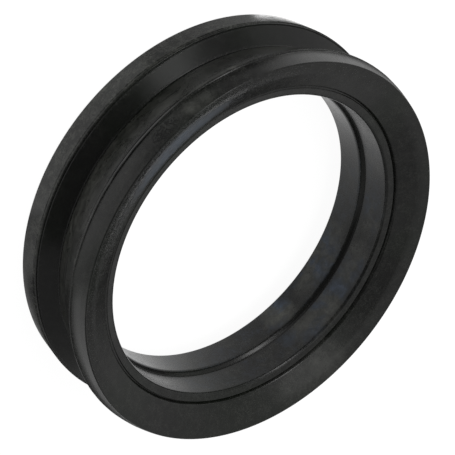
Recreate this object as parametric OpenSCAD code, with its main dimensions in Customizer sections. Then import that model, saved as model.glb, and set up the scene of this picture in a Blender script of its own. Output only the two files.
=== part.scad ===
// U-cup ring seal: one moulded rubber ring with a flared front lip, a rear rim,
// a tapered groove between them, dished end faces and a stepped bore.
// It lies on its rear foot. The origin is on the ring's axis, at the foot's level,
// and +Z points out of the front face. Heights are measured up from the foot.

/* [Ring] */
// Diameter of the bore in front of its step
bore_d = 175; // [80:1:400]
// Full height, from the foot to the top of the rounded nose
height = 60; // [50:0.5:120]
// Radial wall between the bore and the bottom of the outer groove
wall_t = 14.5; // [11:0.5:40]

/* [Front lip] */
// Radial height of the lip's crest above the bottom of the groove
crest_rise = 10.8; // [6:0.1:20]
// Distance from the top of the nose back to the crest
crest_setback = 11.8; // [8:0.1:18]
// Taper of the lip's land, from its crest to its nose, in degrees
nose_taper = 10; // [3:0.5:16]
// Radius of the rounded nose
nose_r = 1.6; // [0.6:0.1:2.6]
// Radius across the crest
crest_r = 4; // [1:0.5:8]

/* [Front face] */
// Slope of the dished front face, in degrees
dish_slope = 28; // [10:0.5:34]
// Radius on the shoulder where the face drops into the crease
shoulder_r = 1.5; // [0.3:0.1:3]
// Width of the crease between the face's shoulder and the inner lip
crease_w = 1.6; // [0.8:0.1:2.4]
// Depth of the crease below the shoulder
crease_h = 1; // [0.6:0.1:2]

/* [Inner lip] */
// Radial width of the inner lip, from the bore to the middle of the crease
lip_w = 5.3; // [4:0.1:8]
// How far the lip's top lies below the face's shoulder
lip_drop = 0.7; // [0.2:0.1:1]
// Slope of the lip's top towards the bore, in degrees
lip_slope = 15; // [0:1:30]
// Radius on the lip's edge at the bore
lip_r = 2.2; // [0.5:0.1:3]

/* [Groove] */
// Height of the bottom of the groove
groove_z = 21.7; // [20:0.1:28]
// Radius in the bottom of the groove
groove_r = 3; // [1:0.5:5]

/* [Rear rim] */
// Radial height of the rim above the bottom of the groove
rim_rise = 10.2; // [5:0.1:16]
// Height of the rim's outer land
rim_h = 14.6; // [9:0.1:17]
// Taper of the rim's land, from its front edge to the foot, in degrees
rim_taper = 8; // [3:0.5:14]
// Radius on the front edge of the rim
rim_r = 1.8; // [0.5:0.1:3]
// Radial width of the flat foot that the ring stands on
foot_w = 3; // [2:0.5:8]
// Radius on the edges of the foot
foot_r = 0.8; // [0.3:0.1:1.5]

/* [Bore] */
// Slope of the dished rear face, in degrees
rear_slope = 31; // [10:0.5:34]
// Radial step from the bore down to its rear land
land_step = 2; // [0.5:0.1:4]
// Height of the rear land's front end
land_z = 30; // [24:0.5:34]
// Length of the sloping step in front of the rear land
step_h = 2.7; // [1:0.1:5]
// Radius on each edge of the step
step_r = 0.6; // [0.2:0.1:1.5]
// Radius on the rear edge of the bore
exit_r = 1; // [0.3:0.1:2]

/* [Hidden] */
arc_step = 12;                             // degrees between the points of a rounded corner
$fn = 180;

bore_r = bore_d / 2;
land_r = bore_r - land_step;
groove_bottom_r = bore_r + wall_t;

// Rear rim: its land widens from the foot to its front edge
rim_top_r = groove_bottom_r + rim_rise;
foot_out_r = rim_top_r - rim_h * tan(rim_taper);
foot_in_r = foot_out_r - foot_w;
exit_z = (foot_in_r - land_r) * tan(rear_slope);

// Front lip: the nose's corner lies above the top of its rounding by nose_over
crest_top_r = groove_bottom_r + crest_rise;
crest_z = height - crest_setback;
nose_over = nose_r * ((cos(nose_taper) + sin(dish_slope)) / cos(dish_slope - nose_taper) - 1);
nose_z = height + nose_over;
nose_out_r = crest_top_r - (nose_z - crest_z) * tan(nose_taper);

// Crease and inner lip: the dished face ends at its shoulder, and the lip lies lower
crease_r = bore_r + lip_w;
shoulder_out_r = crease_r + crease_w / 2;
shoulder_z = nose_z - (nose_out_r - shoulder_out_r) * tan(dish_slope);
lip_top_r = crease_r - crease_w / 2;
lip_top_z = shoulder_z - lip_drop;
lip_edge_z = lip_top_z - (lip_top_r - bore_r) * tan(lip_slope);
fine_r = 0.3;                              // radius in the crease and on its inner edge

// Corners of the ring's half section, [radius, height, corner radius], anticlockwise
// from the rear edge of the bore
SECTION = [
    [land_r, exit_z, exit_r],
    [foot_in_r, 0, foot_r],
    [foot_out_r, 0, foot_r],
    [rim_top_r, rim_h, rim_r],
    [groove_bottom_r, groove_z, groove_r],
    [crest_top_r, crest_z, crest_r],
    [nose_out_r, nose_z, nose_r],
    [shoulder_out_r, shoulder_z, shoulder_r],
    [crease_r, shoulder_z - crease_h, fine_r],
    [lip_top_r, lip_top_z, fine_r],
    [bore_r, lip_edge_z, lip_r],
    [bore_r, land_z + step_h, step_r],
    [land_r, land_z, step_r]
];

// Direction of the line from a to b, in degrees
function heading(a, b) = atan2(b[1] - a[1], b[0] - a[0]);
function distance(a, b) = norm([b[0] - a[0], b[1] - a[1]]);

// The corner at b between a and c as points on an arc of radius b[2] that meets both
// lines. The arc takes at most two fifths of the shorter line beside it.
function corner(a, b, c) =
    let (start = heading(a, b),
         turn = (heading(b, c) - start + 540) % 360 - 180,
         pull = abs(tan(turn / 2)),
         r = min(b[2], 0.4 * min(distance(a, b), distance(b, c)) / pull),
         side = sign(turn),
         centre = [b[0] - r * pull * cos(start) - side * r * sin(start),
                   b[1] - r * pull * sin(start) + side * r * cos(start)],
         steps = max(1, ceil(abs(turn) / arc_step)))
    r == 0 ? [[b[0], b[1]]]
           : [for (i = [0 : steps])
                let (way = start + turn * i / steps)
                centre + side * r * [sin(way), -cos(way)]];

function rounded(p) =
    let (n = len(p))
    [for (i = [0 : n - 1]) each corner(p[(i + n - 1) % n], p[i], p[(i + 1) % n])];

module seal_ring() {
    color("dimgray")
        rotate_extrude()
            polygon(rounded(SECTION));
}

seal_ring();
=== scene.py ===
import math
import bpy
import numpy as np
from mathutils import Matrix, Vector


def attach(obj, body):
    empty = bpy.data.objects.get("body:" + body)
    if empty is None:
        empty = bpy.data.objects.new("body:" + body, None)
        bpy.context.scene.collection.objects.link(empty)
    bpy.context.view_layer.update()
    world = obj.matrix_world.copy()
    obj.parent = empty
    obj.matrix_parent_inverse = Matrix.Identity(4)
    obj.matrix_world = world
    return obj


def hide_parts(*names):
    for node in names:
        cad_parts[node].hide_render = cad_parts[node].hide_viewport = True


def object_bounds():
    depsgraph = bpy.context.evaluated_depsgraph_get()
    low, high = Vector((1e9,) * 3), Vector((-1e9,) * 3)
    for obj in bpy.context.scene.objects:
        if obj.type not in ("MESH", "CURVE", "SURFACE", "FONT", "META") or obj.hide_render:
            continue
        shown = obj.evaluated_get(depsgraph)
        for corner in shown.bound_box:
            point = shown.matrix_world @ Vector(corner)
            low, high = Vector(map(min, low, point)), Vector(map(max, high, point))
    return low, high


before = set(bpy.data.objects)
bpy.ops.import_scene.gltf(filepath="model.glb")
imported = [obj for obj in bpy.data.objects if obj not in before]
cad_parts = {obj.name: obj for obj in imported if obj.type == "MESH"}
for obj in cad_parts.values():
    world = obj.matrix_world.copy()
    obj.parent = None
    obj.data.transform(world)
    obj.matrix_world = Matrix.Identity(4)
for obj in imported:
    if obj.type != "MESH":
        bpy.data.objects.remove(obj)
low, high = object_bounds()


# --- Studio: camera ------------------------------------------------------------------------------
# A long lens looks down on the front face from 42 degrees above the floor, rolled so that
# the ring's long axis runs from the lower left to the upper right.
camera_place = (0.00035, -0.97920, 0.90316)
camera_right = Vector((-0.62210, 0.52216, 0.58339))
camera_down = Vector((0.78293, 0.41490, 0.46355))
sensor_mm = 36.0
image_width, focal_width = 455.0, 2500.0
camera_data = bpy.data.cameras.new("long_lens")
camera_data.sensor_width = sensor_mm
camera_data.lens = sensor_mm * focal_width / image_width
camera_data.clip_start, camera_data.clip_end = 0.05, 50.0
camera = bpy.data.objects.new("long_lens", camera_data)
bpy.context.scene.collection.objects.link(camera)
camera_back = camera_down.cross(camera_right).normalized()
camera.matrix_world = Matrix((
    (camera_right.x, -camera_down.x, camera_back.x, camera_place[0]),
    (camera_right.y, -camera_down.y, camera_back.y, camera_place[1]),
    (camera_right.z, -camera_down.z, camera_back.z, camera_place[2]),
    (0, 0, 0, 1)))
bpy.context.scene.camera = camera
bpy.context.scene.view_settings.view_transform = "Standard"


# --- Studio: light tent --------------------------------------------------------------------------
# White cloth walls glow softly all round, with panels, small lamps, gaps and the lens opening
# between them, which polished surfaces see. Everything is lit at one plain level, and the
# camera itself sees plain white.
def direction(azimuth, elevation):
    """Unit vector at an azimuth counted from +X towards +Y and an elevation above the floor."""
    a, e = math.radians(azimuth), math.radians(elevation)
    return (math.cos(a) * math.cos(e), math.sin(a) * math.cos(e), math.sin(e))


def join(tree, *pairs):
    """Links each pair of sockets, from the first to the second."""
    for a, b in pairs:
        tree.links.new(a, b)


world = bpy.data.worlds.new("light_tent")
bpy.context.scene.world = world
world.use_nodes = True
tent = world.node_tree
tent.nodes.clear()


def spread(tree, way, azimuth, elevation, inner, outer):
    """1 within inner degrees of a direction, 0 beyond outer degrees, smooth between. way is
    a unit vector, and its dot product with the direction is the cosine of the angle."""
    dot = tree.nodes.new("ShaderNodeVectorMath")
    dot.operation = "DOT_PRODUCT"
    dot.inputs[1].default_value = direction(azimuth, elevation)
    ease = tree.nodes.new("ShaderNodeMapRange")
    ease.interpolation_type = "SMOOTHSTEP"
    ease.inputs["From Min"].default_value = math.cos(math.radians(outer))
    ease.inputs["From Max"].default_value = math.cos(math.radians(inner))
    join(tree, (way, dot.inputs[0]), (dot.outputs["Value"], ease.inputs["Value"]))
    return ease.outputs["Result"]


def blended(tree, share, below, above):
    """below where share is 0 and above where it is 1. Both are numbers or sockets."""
    mix = tree.nodes.new("ShaderNodeMix")
    join(tree, (share, mix.inputs[0]))
    for value, socket in ((below, mix.inputs[2]), (above, mix.inputs[3])):
        if isinstance(value, (int, float)):
            socket.default_value = value
        else:
            join(tree, (value, socket))
    return mix.outputs[0]


look = tent.nodes.new("ShaderNodeTexCoord").outputs["Generated"]
plain_level, cloth_level, white = 0.7, 0.46, 1.0
level = cloth_level
# What hangs in the tent: azimuth, elevation, inner and outer half angle, strength.
for name, azimuth, elevation, inner, outer, strength in (
        ("dim wall", 18, 28, 12, 40, 0.22),
        ("far wall", 90, 2, 16, 34, 0.30),
        ("far panel", 90, 33, 6, 10, 0.80),
        ("far shade", 90, 52, 8, 16, 0.32),
        ("far opening", 92, 15, 7, 11, 0.02),
        ("far lamp", 88, -3, 4, 8, 4.0),
        ("near wall", 250, 12, 34, 56, 0.10),
        ("dark gap", 189, 5, 6, 13, 0.25),
        ("low strip", 163, 8, 6, 12, 1.0),
        ("dim gap", 177, 47, 7, 13, 0.22),
        ("high panel", 188, 77, 8, 15, 0.95),
        ("high panel", 206, 60, 7, 9.5, 1.1),
        ("low panel", 221, 28, 14, 18, 0.55),
        ("edge lamp", 218, 44, 3, 7, 7.5),
        ("hot lamp", 216, 28, 3, 9, 5.0),
        ("lens opening", 294, 46, 32, 46, 0.06)):
    level = blended(tent, spread(tent, look, azimuth, elevation, inner, outer), level, strength)
rays = tent.nodes.new("ShaderNodeLightPath")
level = blended(tent, rays.outputs["Is Glossy Ray"], plain_level, level)
level = blended(tent, rays.outputs["Is Camera Ray"], level, white)
background = tent.nodes.new("ShaderNodeBackground")
background.inputs["Color"].default_value = (1, 1, 1, 1)
out = tent.nodes.new("ShaderNodeOutputWorld")
join(tent, (level, background.inputs["Strength"]), (background.outputs[0], out.inputs["Surface"]))


# --- Studio: lamp --------------------------------------------------------------------------------
# One large soft lamp high on the left throws the soft shadow under the ring. It is a square
# of cloth, 1.2 m across and 1.6 m away, and polished surfaces don't see it.
lamp_size, lamp_distance, lamp_watts = 1.2, 1.6, 12.0
lamp_data = bpy.data.lights.new("soft_lamp", "AREA")
lamp_data.shape = "SQUARE"
lamp_data.size = lamp_size
lamp_data.energy = lamp_watts
lamp = bpy.data.objects.new("soft_lamp", lamp_data)
bpy.context.scene.collection.objects.link(lamp)
lamp.location = Vector(direction(200, 65)) * lamp_distance
lamp.rotation_euler = (Vector((0, 0, 0)) - lamp.location).to_track_quat("-Z", "Y").to_euler()
lamp.visible_glossy = False


# --- Studio: floor -------------------------------------------------------------------------------
# A plain pale floor that fills the view. The camera sees it white, with the ring's shadow.
# Polished surfaces see a table with light and shade painted into its glow: painted shade close
# round the ring, and painted light inside it, at its foot on the left and out in the open.
def plain_mesh(name, points, faces):
    """A mesh object at the origin from points in metres and faces by point number."""
    mesh = bpy.data.meshes.new(name)
    mesh.from_pydata(points, [], faces)
    mesh.update()
    made = bpy.data.objects.new(name, mesh)
    bpy.context.scene.collection.objects.link(made)
    return made


def eased(tree, value, start, end):
    """0 below start and 1 above end, smooth between."""
    ease = tree.nodes.new("ShaderNodeMapRange")
    ease.interpolation_type = "SMOOTHSTEP"
    ease.inputs["From Min"].default_value = start
    ease.inputs["From Max"].default_value = end
    join(tree, (value, ease.inputs["Value"]))
    return ease.outputs["Result"]


def vector_math(tree, operation, vector, other=None):
    """One step of arithmetic on a vector socket. other is a constant vector."""
    node = tree.nodes.new("ShaderNodeVectorMath")
    node.operation = operation
    join(tree, (vector, node.inputs[0]))
    if other is not None:
        node.inputs[1].default_value = other
    return node


side, gap_under_ring = 3.0, 0.0002
floor_z = low[2] - gap_under_ring
floor = plain_mesh("floor", [(-side, -side, floor_z), (side, -side, floor_z),
                             (side, side, floor_z), (-side, side, floor_z)], [(0, 1, 2, 3)])
pale = bpy.data.materials.new("pale_floor")
pale.use_nodes = True
tree = pale.node_tree
tree.nodes.clear()
place = tree.nodes.new("ShaderNodeTexCoord").outputs["Object"]
flat_place = vector_math(tree, "MULTIPLY", place, (1, 1, 0)).outputs[0]
reach = vector_math(tree, "LENGTH", flat_place).outputs["Value"]
way = vector_math(tree, "NORMALIZE", flat_place).outputs[0]
across = vector_math(tree, "DOT_PRODUCT", place, (1, 0, 0)).outputs["Value"]
# Painted inside the ring: a dim middle line, then brighter towards both sides. Lengths in metres.
off_middle = vector_math(tree, "LENGTH", vector_math(tree, "MULTIPLY", place, (1, 0, 0)).outputs[0])
inside = blended(tree, eased(tree, off_middle.outputs["Value"], 0.004, 0.036), 0.44, 0.66)
inside = blended(tree, eased(tree, across, -0.045, -0.075), inside, 0.84)
inside = blended(tree, eased(tree, across, 0.030, 0.070), inside, 1.15)


def patchwork(base, *lobes):
    """A tone that changes round the ring: base, then each lobe as azimuth, inner and outer
    half angle, tone."""
    tone = base
    for azimuth, inner, outer, strength in lobes:
        tone = blended(tree, spread(tree, way, azimuth, 0, inner, outer), tone, strength)
    return tone


# Painted light and shade, from the ring outwards: lit strip at its foot, strip under the rim,
# the ring's own shade, open table and the table's far edge.
foot_strip = patchwork(0.34, (199, 8, 14, 2.6), (275, 24, 28, 0.60))
rim_strip = patchwork(0.08, (262, 52, 64, 0.34), (275, 24, 28, 0.60))
shade = patchwork(0.06, (292, 20, 34, 0.26))
open_table = patchwork(1.05, (182, 8, 18, 1.4), (229, 10, 30, 0.42), (263, 4, 12, 0.55),
                       (292, 14, 26, 0.74), (319, 3, 12, 0.55))
far_edge = patchwork(0.15, (188, 10, 24, 0.55), (236, 14, 30, 0.12), (293, 16, 26, 0.60))
# The shade ends farther out on some sides: azimuth, inner and outer half angle, then where
# the shade begins and stops fading.
clear = eased(tree, reach, 0.160, 0.188)
for azimuth, inner, outer, fade_from, fade_to in (
        (229, 12, 28, 0.190, 0.250), (292, 20, 34, 0.148, 0.180),
        (343, 10, 18, 0.162, 0.206), (12, 14, 24, 0.170, 0.212)):
    clear = blended(tree, spread(tree, way, azimuth, 0, inner, outer), clear,
                    eased(tree, reach, fade_from, fade_to))
outside = blended(tree, clear, shade, open_table)
outside = blended(tree, eased(tree, reach, 0.28, 0.50), outside, far_edge)
outside = blended(tree, eased(tree, reach, 0.119, 0.130), rim_strip, outside)
outside = blended(tree, eased(tree, reach, 0.1112, 0.1135), foot_strip, outside)
table = blended(tree, eased(tree, reach, 0.090, 0.108), inside, outside)
# The camera sees mostly an even white glow, and the rest is lit cloth that keeps the shadow.
camera_glow_share, camera_glow = 0.86, 1.1
matt = tree.nodes.new("ShaderNodeBsdfDiffuse")
matt.inputs["Color"].default_value = (0.78, 0.78, 0.78, 1)
glow = tree.nodes.new("ShaderNodeEmission")
seen = tree.nodes.new("ShaderNodeMixShader")
rays = tree.nodes.new("ShaderNodeLightPath")
out = tree.nodes.new("ShaderNodeOutputMaterial")
share = blended(tree, rays.outputs["Is Camera Ray"], 0.0, camera_glow_share)
share = blended(tree, rays.outputs["Is Glossy Ray"], share, 1.0)
strength = blended(tree, rays.outputs["Is Glossy Ray"], camera_glow, table)
join(tree, (strength, glow.inputs["Strength"]), (share, seen.inputs[0]),
     (matt.outputs[0], seen.inputs[1]), (glow.outputs[0], seen.inputs[2]),
     (seen.outputs[0], out.inputs["Surface"]))
floor.data.materials.append(pale)


# --- Ring: moulded body --------------------------------------------------------------------------
# One rubber moulding: its half section turned about the axis. The mould closes on the crest of
# the front lip and on the rim, where the trimmed flash has left fine grooves and burrs.
# Lengths in mm, slopes and tapers in degrees, and each _r beside a slope is a corner radius.
MM = 0.001
bore_r, height, wall_t = 87.5, 60.0, 14.5
# Front lip: crest, then a land with a slight bend, then a nose that rolls into the dish
crest_rise, crest_setback, crest_r = 10.77, 11.8, 12.0
land_taper, land_h, land_bend_r = 7.5, 5.6, 30.0
nose_taper, nose_r = 15.0, 0.8
roll_w, roll_slope, roll_r, roll_drop, roll_lift, tip_lift = 5.5, 14.0, 30.0, 0.1, 0.6, 0.8
# Dished front face, crease and inner lip
dish_slope, shoulder_r = 27.0, 1.5
crease_w, crease_h, crease_offset, crease_floor_half, crease_r = 1.6, 2.1, 0.15, 0.14, 0.1
lip_w, lip_drop, lip_slope, lip_top_round, lip_r = 5.3, 0.8, 7.0, 0.3, 2.0
# Outer groove, rear rim and foot
groove_z, groove_r = 21.7, 0.5
rim_rise, rim_h, rim_taper, rim_r, foot_w, foot_r = 10.2, 14.6, 8.0, 2.4, 3.0, 0.8
# Dished rear face, and the bore's step with a rounded foot
rear_slope, exit_r = 31.0, 1.0
land_step, land_z, step_h, step_r, step_round = 2.0, 30.0, 2.7, 0.3, 3.6


def tan(degrees):
    """Rise over run of a slope in degrees."""
    return math.tan(math.radians(degrees))


def section_corners():
    """Corners of the half section as (radius, height, corner radius) in mm, anticlockwise
    from the rear edge of the bore."""
    land_r, groove_bottom_r = bore_r - land_step, bore_r + wall_t
    rim_top_r = groove_bottom_r + rim_rise
    foot_out_r = rim_top_r - rim_h * tan(rim_taper)
    foot_in_r = foot_out_r - foot_w
    exit_z = (foot_in_r - land_r) * tan(rear_slope)
    crest_top_r, crest_z = groove_bottom_r + crest_rise, height - crest_setback
    t, d = math.radians(nose_taper), math.radians(dish_slope)
    nose_z = height + nose_r * ((math.cos(t) + math.sin(d)) / math.cos(d - t) - 1)
    bend_r, bend_z = crest_top_r - land_h * tan(land_taper), crest_z + land_h
    nose_out_r = bend_r - (nose_z - bend_z) * tan(nose_taper)
    crease_mid_r = bore_r + lip_w - crease_offset
    shoulder_out_r = bore_r + lip_w + crease_w / 2
    shoulder_z = nose_z - (nose_out_r - shoulder_out_r) * tan(dish_slope)
    crease_z = shoulder_z - crease_h
    lip_top_r, lip_top_z = bore_r + lip_w - crease_w / 2, shoulder_z - lip_drop
    lip_edge_z = lip_top_z - (lip_top_r - bore_r) * tan(lip_slope)
    roll_in_r = nose_out_r - roll_w
    roll_z = nose_z - roll_drop - roll_w * tan(dish_slope)
    tip_z = roll_z + roll_w * tan(roll_slope) + tip_lift
    return np.array([
        (land_r, exit_z, exit_r), (foot_in_r, 0, foot_r), (foot_out_r, 0, foot_r),
        (rim_top_r, rim_h, rim_r), (groove_bottom_r, groove_z, groove_r),
        (crest_top_r, crest_z, crest_r), (bend_r, bend_z, land_bend_r),
        (nose_out_r, tip_z, nose_r), (roll_in_r, roll_z + roll_lift, roll_r),
        (shoulder_out_r, shoulder_z, shoulder_r),
        (crease_mid_r + crease_floor_half, crease_z, crease_r),
        (crease_mid_r - crease_floor_half, crease_z, crease_r),
        (lip_top_r, lip_top_z, lip_top_round), (bore_r, lip_edge_z, lip_r),
        (bore_r, land_z + step_h, step_r), (land_r, land_z, step_round)])


SHOULDER, CREASE, LIP_TOP, STEP = 9, 10, 12, 14     # places of those corners in the list


def rounded_section(corners, arc_step, line_step):
    """Points along the closed section: an arc tangent to both lines at each corner, at most
    two fifths of the shorter line, then points along the line to the next corner whose
    spacing grows smoothly away from each arc. The guard point just off each arc keeps the
    smooth shading of the arc from spilling onto the flat. Arcs are cut every arc_step
    degrees and lines about every line_step mm."""
    guard_mm, most_of_line, most_of_gap = 0.15, 0.4, 0.4
    count = len(corners)
    points, arcs = [], []
    for i in range(count):
        a, b, c = corners[i - 1][:2], corners[i][:2], corners[(i + 1) % count][:2]
        start, end = np.arctan2(*(b - a)[::-1]), np.arctan2(*(c - b)[::-1])
        turn = (end - start + 3 * np.pi) % (2 * np.pi) - np.pi
        pull = abs(math.tan(turn / 2))
        r = min(corners[i][2],
                most_of_line * min(np.linalg.norm(b - a), np.linalg.norm(c - b)) / pull)
        hand = np.sign(turn)
        centre = b - r * pull * np.array([math.cos(start), math.sin(start)]) \
            + hand * r * np.array([-math.sin(start), math.cos(start)])
        cuts = max(2, math.ceil(abs(math.degrees(turn)) / arc_step))
        heading = start + turn * np.linspace(0, 1, cuts + 1)
        arcs.append(centre + hand * r * np.stack([np.sin(heading), -np.cos(heading)], 1))
    for i in range(count):
        arc, after = arcs[i], arcs[(i + 1) % count]
        points.append(arc)
        length = np.linalg.norm(after[0] - arc[-1])
        steps = max(2, math.ceil(length / line_step))
        share = 0.5 - 0.5 * np.cos(np.pi * np.arange(1, steps) / steps)
        guard = min(guard_mm / length, most_of_gap * share[0])
        share = np.concatenate([[guard], share, [1 - guard]])
        points.append(arc[-1] + share[:, None] * (after[0] - arc[-1]))
    return np.concatenate(points)


def closed_length(points):
    """Distance of each point along the closed section, with the whole length last."""
    steps = np.diff(np.vstack([points, points[:1]]), axis=0)
    return np.concatenate([[0], np.cumsum(np.linalg.norm(steps, axis=1))])


def wander(seed, angle, slow, quick):
    """Smooth random wave that closes round the ring: a sum of cosines with slow to quick
    turns and random phases. Mostly between -1 and 1."""
    waves = np.arange(slow, quick + 1)
    phase = np.random.default_rng(seed).uniform(0, 2 * np.pi, len(waves))
    return np.cos(np.outer(angle, waves) + phase).sum(1) / np.sqrt(len(waves))


def between(degrees, start, end, soft):
    """1 between two angles and 0 outside them, with soft ends."""
    rise = np.clip((degrees - start) / soft + 0.5, 0, 1)
    fall = np.clip((end - degrees) / soft + 0.5, 0, 1)
    return rise * rise * (3 - 2 * rise) * fall * fall * (3 - 2 * fall)


corners = section_corners()
columns = 372
angle = np.linspace(0, 2 * np.pi, columns, endpoint=False)
degrees = np.degrees(angle)
# The true section, cut finely, and the distance along it of each of its points
path = rounded_section(corners, 2, 0.4)
along_path = closed_length(path)
total_mm = along_path[-1]
step_at = along_path[np.argmin(np.linalg.norm(path - corners[STEP][:2], axis=1))]
# Lines left by the mould and the trimming knife, as distance along the section, reach
# before and after it, depth (less than 0 is a raised burr) and how deep each is round
# the ring. The knife undercuts the back of the rim.
parting_mm = 83.8
TRIM_LINES = (
    (42.0, 0.6, 0.6, 0.25, 0.75 + 0.25 * wander(1, angle, 2, 9)),
    (44.45, 0.7, 0.3, 0.60,
     0.85 + 0.12 * wander(2, angle, 1, 6) + 0.4 * between(degrees, 150, 252, 10)),
    (80.3, 0.7, 0.5, 0.90,
     between(degrees, 251, 291, 8) * (0.8 + 0.2 * wander(8, angle, 3, 14))),
    (82.7, 0.4, 0.4, -0.10, np.clip(0.3 + 0.8 * wander(3, angle, 5, 60), 0, 1.4)),
    (parting_mm, 0.8, 0.6, 0.90, 0.78 + 0.22 * wander(4, angle, 2, 14)),
    (85.0, 0.4, 0.4, -0.07, np.clip(0.2 + 0.8 * wander(5, angle, 5, 70), 0, 1.4)),
    (step_at + 0.35, 0.35, 0.35, 0.35, 0.85 + 0.15 * wander(7, angle, 2, 10)))
# Rows of the mesh: the section cut more coarsely, with seven rows of its own for each line
rows = closed_length(rounded_section(corners, 7, 2.0))
rows = rows[:-1] * total_mm / rows[-1]
clear_mm, guard_mm = 0.2, 0.12
for at, before, after, depth, share in TRIM_LINES:
    rows = rows[(rows < at - before - clear_mm) | (rows > at + after + clear_mm)]
    rows = np.concatenate([rows, at + np.array([
        -before - guard_mm, -before, -0.62 * before, -0.25 * before,
        0.25 * after, after, after + guard_mm])])
rows = np.sort(rows)
ahead = np.roll(path, -1, 0) - np.roll(path, 1, 0)
outward = np.stack([ahead[:, 1], -ahead[:, 0]], 1) / np.linalg.norm(ahead, axis=1)[:, None]
# The parting line isn't quite straight: the rows near it slide along the section.
slide, slide_reach = 1.1 * between(degrees, 196, 244, 18) + 0.12 * wander(6, angle, 2, 12), 5.0
near_parting = np.exp(-((rows[:, None] - parting_mm) / slide_reach) ** 2)
place_mm = (rows[:, None] + slide * near_parting) % total_mm
# Each line is a trough with sloping sides, cut square to the surface.
sloping_part = 0.75
lift = np.zeros_like(place_mm)
for at, before, after, depth, share in TRIM_LINES:
    rise = np.minimum((rows - at + before) / before, (at + after - rows) / after)
    lift -= depth * np.clip(rise / sloping_part, 0, 1)[:, None] * share
looped = np.vstack([path, path[:1]])
normals = np.vstack([outward, outward[:1]])
radius_mm, z_mm, normal_r, normal_z = (
    np.interp(place_mm, along_path, values) for values in (*looped.T, *normals.T))
radius_mm = radius_mm + lift * normal_r
z_mm = np.clip(z_mm + lift * normal_z, 0, height)
# The crease beside the lip closes up over the near part of the ring.
shoulder, crease, lip_top = corners[SHOULDER], corners[CREASE], corners[LIP_TOP]
left_open, margin = 0.25, 0.2
in_crease = (radius_mm < shoulder[0]) & (radius_mm > lip_top[0]) & (z_mm > crease[1] - margin)
closed_up = crease[1] + (lip_top[1] - left_open - crease[1]) * between(degrees, 192, 346, 26)
z_mm = np.where(in_crease, np.maximum(z_mm, closed_up), z_mm)
grid = MM * np.stack([radius_mm * np.cos(angle), radius_mm * np.sin(angle), z_mm], -1)


def closed_grid(name, grid):
    """A mesh from a grid of points that closes on itself both ways, faces outwards."""
    down, round_it = grid.shape[:2]
    index = np.arange(down * round_it).reshape(down, round_it)
    right, below = np.roll(index, -1, 1), np.roll(index, -1, 0)
    corner = np.roll(below, -1, 1)
    quads = np.stack([index, right, corner, below], -1).reshape(-1, 4)
    mesh = bpy.data.meshes.new(name)
    mesh.vertices.add(down * round_it)
    mesh.vertices.foreach_set("co", grid.reshape(-1).astype(np.float32))
    mesh.loops.add(quads.size)
    mesh.loops.foreach_set("vertex_index", quads.reshape(-1).astype(np.int32))
    mesh.polygons.add(len(quads))
    mesh.polygons.foreach_set("loop_start", np.arange(0, quads.size, 4, dtype=np.int32))
    mesh.update(calc_edges=True)
    mesh.polygons.foreach_set("use_smooth", np.ones(len(quads), dtype=bool))
    made = bpy.data.objects.new(name, mesh)
    bpy.context.scene.collection.objects.link(made)
    return made


def corner_values(mesh, name, values, by_row):
    """Stores one number at each face corner, from values at the rows or at the columns. There
    is one more value than there are rows or columns, so that the ring closes cleanly."""
    first, last = values[:-1], values[1:]
    if by_row:
        four = np.stack([first, first, last, last], -1)[:, None, :]
    else:
        four = np.stack([first, last, last, first], -1)[None, :, :]
    four = np.broadcast_to(four, (len(rows), columns, 4))
    layer = mesh.attributes.new(name, "FLOAT", "CORNER")
    layer.data.foreach_set("value", four.reshape(-1).astype(np.float32))


ring = closed_grid("ring_moulding", grid)
corner_values(ring.data, "along_mm", np.append(rows, rows[0] + total_mm), True)
corner_values(ring.data, "around_deg", np.append(degrees, 360.0), False)


def group(name, inputs, outputs):
    """An empty shader node group with named sockets: (name, "FLOAT", "VECTOR" or "COLOR")."""
    made = bpy.data.node_groups.new(name, "ShaderNodeTree")
    kinds = {"FLOAT": "NodeSocketFloat", "VECTOR": "NodeSocketVector", "COLOR": "NodeSocketColor"}
    for side, listed in (("INPUT", inputs), ("OUTPUT", outputs)):
        for label, kind in listed:
            made.interface.new_socket(label, in_out=side, socket_type=kinds[kind])
    return made, made.nodes.new("NodeGroupInput"), made.nodes.new("NodeGroupOutput")


def sums(tree, operation, first, second=None, third=None):
    """One step of arithmetic on numbers or sockets."""
    node = tree.nodes.new("ShaderNodeMath")
    node.operation = operation
    for socket, value in zip(node.inputs, (first, second, third)):
        if value is None:
            continue
        if isinstance(value, (int, float)):
            socket.default_value = value
        else:
            join(tree, (value, socket))
    return node.outputs[0]


def noise(tree, vector, scale, detail=2.0, rough=0.5, bend=0.0):
    """A cloudy pattern between 0 and 1. scale is in waves a metre, or in waves for each unit
    of the vector."""
    node = tree.nodes.new("ShaderNodeTexNoise")
    node.inputs["Scale"].default_value = scale
    node.inputs["Detail"].default_value = detail
    node.inputs["Roughness"].default_value = rough
    node.inputs["Distortion"].default_value = bend
    join(tree, (vector, node.inputs["Vector"]))
    return node.outputs[0]


# The skin left by the mould: a fine grain, cloudy patches where the rubber flowed, and
# faint lines drawn round the ring by the cutter that made the mould.
skin, given, gives = group("moulded_skin", (("Place", "VECTOR"), ("Along", "FLOAT")),
                           (("Clouds", "FLOAT"), ("Blots", "FLOAT"), ("Speckle", "FLOAT"),
                            ("Turning", "FLOAT"), ("Grain", "FLOAT"), ("Hue", "FLOAT")))
spot = given.outputs["Place"]
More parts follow.
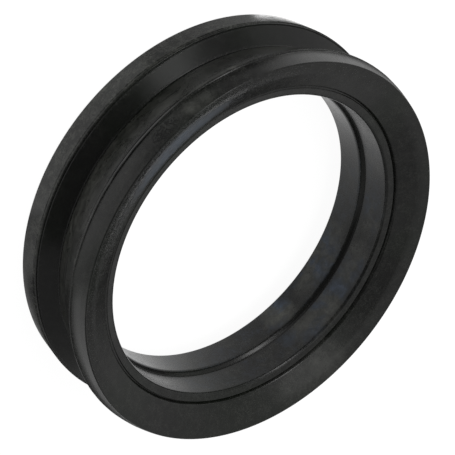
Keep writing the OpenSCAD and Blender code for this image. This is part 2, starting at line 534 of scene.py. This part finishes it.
# The cutter's lines change fast along the section and slowly round the ring.
lines_a_mm, waves_round = 1.1, 5.0
flat_spot = vector_math(skin, "MULTIPLY", spot, (1, 1, 0))
round_way = vector_math(skin, "NORMALIZE", flat_spot.outputs[0])
turned_way = vector_math(skin, "SCALE", round_way.outputs[0])
turned_way.inputs["Scale"].default_value = waves_round
lifted = skin.nodes.new("ShaderNodeCombineXYZ")
join(skin, (sums(skin, "MULTIPLY", given.outputs["Along"], lines_a_mm), lifted.inputs["Z"]))
both = vector_math(skin, "ADD", turned_way.outputs[0])
join(skin, (lifted.outputs[0], both.inputs[1]))
join(skin, (noise(skin, spot, 62.0, 4.0, 0.62, 0.4), gives.inputs["Clouds"]),
     (noise(skin, spot, 190.0, 5.0, 0.68, 0.5), gives.inputs["Blots"]),
     (noise(skin, spot, 20.0, 2.0, 0.5), gives.inputs["Hue"]),
     (noise(skin, spot, 900.0, 3.0, 0.7), gives.inputs["Speckle"]),
     (noise(skin, both.outputs[0], 1.0, 3.0, 0.6), gives.inputs["Turning"]),
     (noise(skin, spot, 2600.0, 2.0, 0.6), gives.inputs["Grain"]))


def patch(tree, around, along, middle, half_turn, at, half_width, core=0.35):
    """A soft oval on the ring: 1 in its core and 0 outside. The middle and half turn are in
    degrees round the ring, and the place and half width in mm along the section."""
    x = sums(tree, "MULTIPLY_ADD", around, 1 / half_turn, -middle / half_turn)
    y = sums(tree, "MULTIPLY_ADD", along, 1 / half_width, -at / half_width)
    far = sums(tree, "ADD", sums(tree, "MULTIPLY", x, x), sums(tree, "MULTIPLY", y, y))
    return eased(tree, far, 1.0, core)


def band(tree, along, start, end, soft):
    """1 between two distances along the section and 0 outside, with soft edges."""
    return sums(tree, "MULTIPLY", eased(tree, along, start - soft, start + soft),
                eased(tree, along, end + soft, end - soft))


# Dull dusty film: thick over the flank of the outer groove and in rubbed places, thin in
# flecks on the rim and faces, and a bluish bloom in patches in the bore. It also carries painted
# light: a lift of the groove's shade, a painted highlight on the near dish and on the rim's edge,
# and painted shade below the crest.
# Places are in mm along the section: rim to 43, groove wall to 55, flank to 82, crest 84,
# front land to 95, dish to 113, inner lip to 121, bore to 139, step to 142, rear land.
film, given, gives = group("film_of_dust_and_painted_light", (("Around", "FLOAT"), ("Along", "FLOAT"),
                                          ("Clouds", "FLOAT"), ("Blots", "FLOAT"),
                                          ("Speckle", "FLOAT"), ("Turning", "FLOAT")),
                           (("Amount", "FLOAT"), ("Cool", "FLOAT")))
around, along = given.outputs["Around"], given.outputs["Along"]
clouds, blots, speckle, turning = (given.outputs[n] for n in
                                   ("Clouds", "Blots", "Speckle", "Turning"))
mottle = sums(film, "MULTIPLY", eased(film, blots, 0.30, 0.70), eased(film, speckle, 0.15, 0.80))
streak = eased(film, turning, 0.36, 0.66)
ragged = sums(film, "MULTIPLY_ADD", eased(film, blots, 0.28, 0.76), 0.45, 0.30)
ragged = sums(film, "MULTIPLY", ragged, sums(film, "MULTIPLY_ADD", speckle, 0.7, 0.6))
# On the flank the film is thickest low down, and thinner on the near left
# Thickest low down, it is dust and also painted light that lifts the shade low in the groove.
flank = sums(film, "MULTIPLY", band(film, along, 57.3, 82.0, 1.6),
             sums(film, "MULTIPLY_ADD", mottle, 0.75, 0.38))
flank = sums(film, "MULTIPLY", flank, sums(film, "MULTIPLY_ADD", streak, 0.6, 0.7))
flank = sums(film, "MULTIPLY", flank, eased(film, along, 92.0, 60.0))
thin = sums(film, "MULTIPLY", eased(film, around, 216.0, 232.0), eased(film, around, 284.0, 266.0))
flank = sums(film, "MULTIPLY", flank, sums(film, "MULTIPLY_ADD", thin, -0.34, 1.0))
# Flecks: how many there are on each band, from the rim to the front faces
flecks = sums(film, "MULTIPLY", eased(film, speckle, 0.34, 0.70), eased(film, blots, 0.34, 0.66))
worn = sums(film, "MULTIPLY_ADD", eased(film, along, 44.0, 42.0), 1.7, 0.14)
worn = sums(film, "MULTIPLY_ADD", band(film, along, 57.0, 84.0, 1.0), 0.40, worn)
worn = sums(film, "MULTIPLY_ADD", band(film, along, 84.0, 95.0, 1.0), 0.25, worn)
worn = sums(film, "MULTIPLY_ADD", eased(film, along, 95.5, 98.0), 0.14, worn)
amount = sums(film, "MULTIPLY_ADD", flecks, worn, flank)
# A light thread along the rim's edge, from azimuth 270 to 322: a painted highlight
ends = sums(film, "MULTIPLY", eased(film, around, 270.0, 284.0),
            eased(film, around, 322.0, 308.0))
painted_edge_highlight = sums(film, "MULTIPLY", band(film, along, 42.5, 42.8, 0.2), ends)
amount = sums(film, "MULTIPLY_ADD", painted_edge_highlight, 0.3, amount)
# Rubbed and dusty patches, and two of painted light: middle and half turn in degrees, place and
# half width in mm, and strength, which is less than 0 where the film is taken off.
for middle, half_turn, at, half_width, strength in (
        (255.5, 8.0, 73.0, 6.6, 0.75), (242.0, 10.0, 81.4, 1.9, 0.9),
        (302.6, 1.2, 81.2, 1.7, 2.0), (236.0, 1.5, 80.6, 2.6, 1.8),
        (298.0, 0.9, 61.5, 3.0, 1.1), (290.0, 14.0, 70.0, 14.0, 0.15),
        (249.5, 6.0, 90.5, 6.5, 0.7), (252.6, 2.2, 89.0, 5.0, 0.6),
        # Painted: shade below the crest at 266 degrees, and a highlight on the dish at 261 degrees.
        (266.0, 17.0, 80.8, 3.0, -1.8), (261.0, 23.0, 106.0, 8.5, 2.3),
        (217.0, 8.0, 70.0, 12.0, 0.5),
        (67.0, 12.0, 104.0, 17.0, 0.4), (77.0, 7.0, 105.0, 17.0, 0.5),
        (76.0, 8.0, 151.0, 12.0, 2.2), (86.0, 19.0, 131.0, 12.0, 1.3),
        (102.0, 18.0, 152.0, 12.0, 1.4), (106.0, 13.0, 131.0, 10.0, 1.1),
        (128.0, 12.0, 131.0, 12.0, 0.5)):
    spot = patch(film, around, along, middle, half_turn, at, half_width, 0.1)
    spot = sums(film, "MULTIPLY", spot, sums(film, "MULTIPLY", ragged, strength))
    amount = sums(film, "ADD", amount, spot)
# A thin film in the bore, but none on the step's face
bore = sums(film, "MULTIPLY", eased(film, along, 122.0, 126.0),
            sums(film, "MULTIPLY", mottle, 0.35))
from_step = sums(film, "ABSOLUTE", sums(film, "SUBTRACT", along, 140.2))
amount = sums(film, "MULTIPLY", sums(film, "ADD", amount, bore), eased(film, from_step, 1.2, 2.2))
cool_bore = sums(film, "MULTIPLY", eased(film, along, 118.0, 126.0),
                 eased(film, clouds, 0.42, 0.60))
# Bluish tint of the painted highlight on the near dish.
painted_dish_highlight_tint = sums(film, "MULTIPLY", patch(film, around, along, 262.0, 32.0, 105.0, 12.0), 0.65)
join(film, (amount, gives.inputs["Amount"]),
     (sums(film, "MAXIMUM", cool_bore, painted_dish_highlight_tint), gives.inputs["Cool"]))

# Small marks from trimming and handling: curled scuffs on the front land and the dish, a cut
# that runs off behind the crest and a dark line along the flank. Each is a shallow dent.
marks, given, gives = group("handling_marks", (("Around", "FLOAT"), ("Along", "FLOAT"),
                                               ("Place", "VECTOR")),
                            (("Dark", "FLOAT"), ("Height", "FLOAT")))
around, along = given.outputs["Around"], given.outputs["Along"]
# Scuffs: thin curls where a bent cloudy pattern passes its middle value
curl = noise(marks, given.outputs["Place"], 330.0, 2.0, 0.5, 1.6)
stroke = eased(marks, sums(marks, "ABSOLUTE", sums(marks, "SUBTRACT", curl, 0.5)), 0.085, 0.03)
land_scuff = sums(marks, "MULTIPLY", stroke,
                  patch(marks, around, along, 260.8, 5.0, 90.2, 4.6, 0.5))
dish_scuff = sums(marks, "MULTIPLY", stroke,
                  patch(marks, around, along, 231.0, 5.5, 101.6, 2.4, 0.3))
dark = sums(marks, "MAXIMUM", land_scuff, dish_scuff)
# The cut starts level on the flank and climbs towards the crest as it goes round.
climb_mm, start_mm, bow = 13.5, 69.2, 1.6
bend = sums(marks, "POWER", eased(marks, around, 309.0, 324.0), bow)
course = sums(marks, "MULTIPLY_ADD", bend, climb_mm, start_mm)
off = sums(marks, "ABSOLUTE", sums(marks, "SUBTRACT", along, course))
ends = sums(marks, "MULTIPLY", eased(marks, around, 300.0, 306.0),
            eased(marks, around, 325.0, 321.0))
dark = sums(marks, "MAXIMUM", dark, sums(marks, "MULTIPLY", eased(marks, off, 1.1, 0.3), ends))
# The line low on the flank
ends = sums(marks, "MULTIPLY", eased(marks, around, 247.0, 250.0),
            eased(marks, around, 266.0, 262.0))
under = sums(marks, "MULTIPLY", band(marks, along, 66.5, 67.3, 0.5), ends)
dark = sums(marks, "MAXIMUM", dark, sums(marks, "MULTIPLY", under, 0.7))
join(marks, (dark, gives.inputs["Dark"]),
     (sums(marks, "MULTIPLY", dark, -1.0), gives.inputs["Height"]))

# The rubber itself: black, half glossy, with the skin, the film and the marks over it
rubber = bpy.data.materials.new("moulded_rubber")
rubber.use_nodes = True
tree = rubber.node_tree
shell = tree.nodes["Principled BSDF"]
place = tree.nodes.new("ShaderNodeTexCoord").outputs["Object"]
stored = []
for name in ("around_deg", "along_mm"):
    node = tree.nodes.new("ShaderNodeAttribute")
    node.attribute_name = name
    stored.append(node.outputs["Fac"])
around, along = stored


def use(tree, made, **sockets):
    """Places a node group, links its inputs by name and gives its outputs."""
    node = tree.nodes.new("ShaderNodeGroup")
    node.node_tree = made
    for label, socket in sockets.items():
        join(tree, (socket, node.inputs[label]))
    return node.outputs


skin_out = use(tree, skin, Place=place, Along=along)
film_out = use(tree, film, Around=around, Along=along, Clouds=skin_out["Clouds"],
               Blots=skin_out["Blots"], Speckle=skin_out["Speckle"], Turning=skin_out["Turning"])
mark_out = use(tree, marks, Around=around, Along=along, Place=place)


def tinted(tree, share, below, above):
    """Mixes two colours, each a triple or a socket."""
    mix = tree.nodes.new("ShaderNodeMix")
    mix.data_type = "RGBA"
    join(tree, (share, mix.inputs["Factor"]))
    for value, socket in ((below, mix.inputs["A"]), (above, mix.inputs["B"])):
        if isinstance(value, tuple):
            socket.default_value = (*value, 1)
        else:
            join(tree, (value, socket))
    return mix.outputs["Result"]


greenish_black, plain_black = (0.0038, 0.0050, 0.0033), (0.0045, 0.0046, 0.0042)
# Film colours: pale dust and bluish bloom, which also colour the painted highlights and painted
# light.
pale_dust_and_light, bluish_bloom_and_highlight, dirt = (0.088, 0.090, 0.080), (0.055, 0.076, 0.112), (0.003, 0.003, 0.003)
black = tinted(tree, eased(tree, skin_out["Hue"], 0.40, 0.60), greenish_black, plain_black)
dust_and_painted_light = tinted(tree, film_out["Cool"], pale_dust_and_light, bluish_bloom_and_highlight)
dusted_and_painted = tinted(tree, sums(tree, "MULTIPLY", film_out["Amount"], 0.5), black, dust_and_painted_light)
dirty = tinted(tree, sums(tree, "MULTIPLY", mark_out["Dark"], 0.85), dusted_and_painted, dirt)
join(tree, (dirty, shell.inputs["Base Color"]))
# The groove wall is the smoothest face, and dust and scuffs are duller than bare rubber.
wall = band(tree, along, 45.5, 54.0, 0.5)
rough = sums(tree, "MULTIPLY_ADD", skin_out["Clouds"], 0.18, 0.105)
rough = sums(tree, "MULTIPLY_ADD", skin_out["Speckle"], 0.12, rough)
rough = sums(tree, "MULTIPLY_ADD", wall, -0.08, rough)
rough = sums(tree, "MULTIPLY_ADD", film_out["Amount"], 0.14, rough)
rough = sums(tree, "MULTIPLY_ADD", mark_out["Dark"], 0.25, rough)
join(tree, (rough, shell.inputs["Roughness"]))
relief = sums(tree, "MULTIPLY", skin_out["Grain"], 0.25)
relief = sums(tree, "MULTIPLY_ADD", skin_out["Speckle"], 0.38, relief)
relief = sums(tree, "MULTIPLY_ADD", skin_out["Turning"], 0.30, relief)
relief = sums(tree, "MULTIPLY_ADD", mark_out["Height"], 3.0, relief)
bump = tree.nodes.new("ShaderNodeBump")
bump.inputs["Strength"].default_value = 0.8
bump.inputs["Distance"].default_value = 0.08 * MM
join(tree, (relief, bump.inputs["Height"]), (bump.outputs[0], shell.inputs["Normal"]))
shell.inputs["IOR"].default_value = 1.5
ring.data.materials.append(rubber)
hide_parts("seal_ring")
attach(ring, "root")
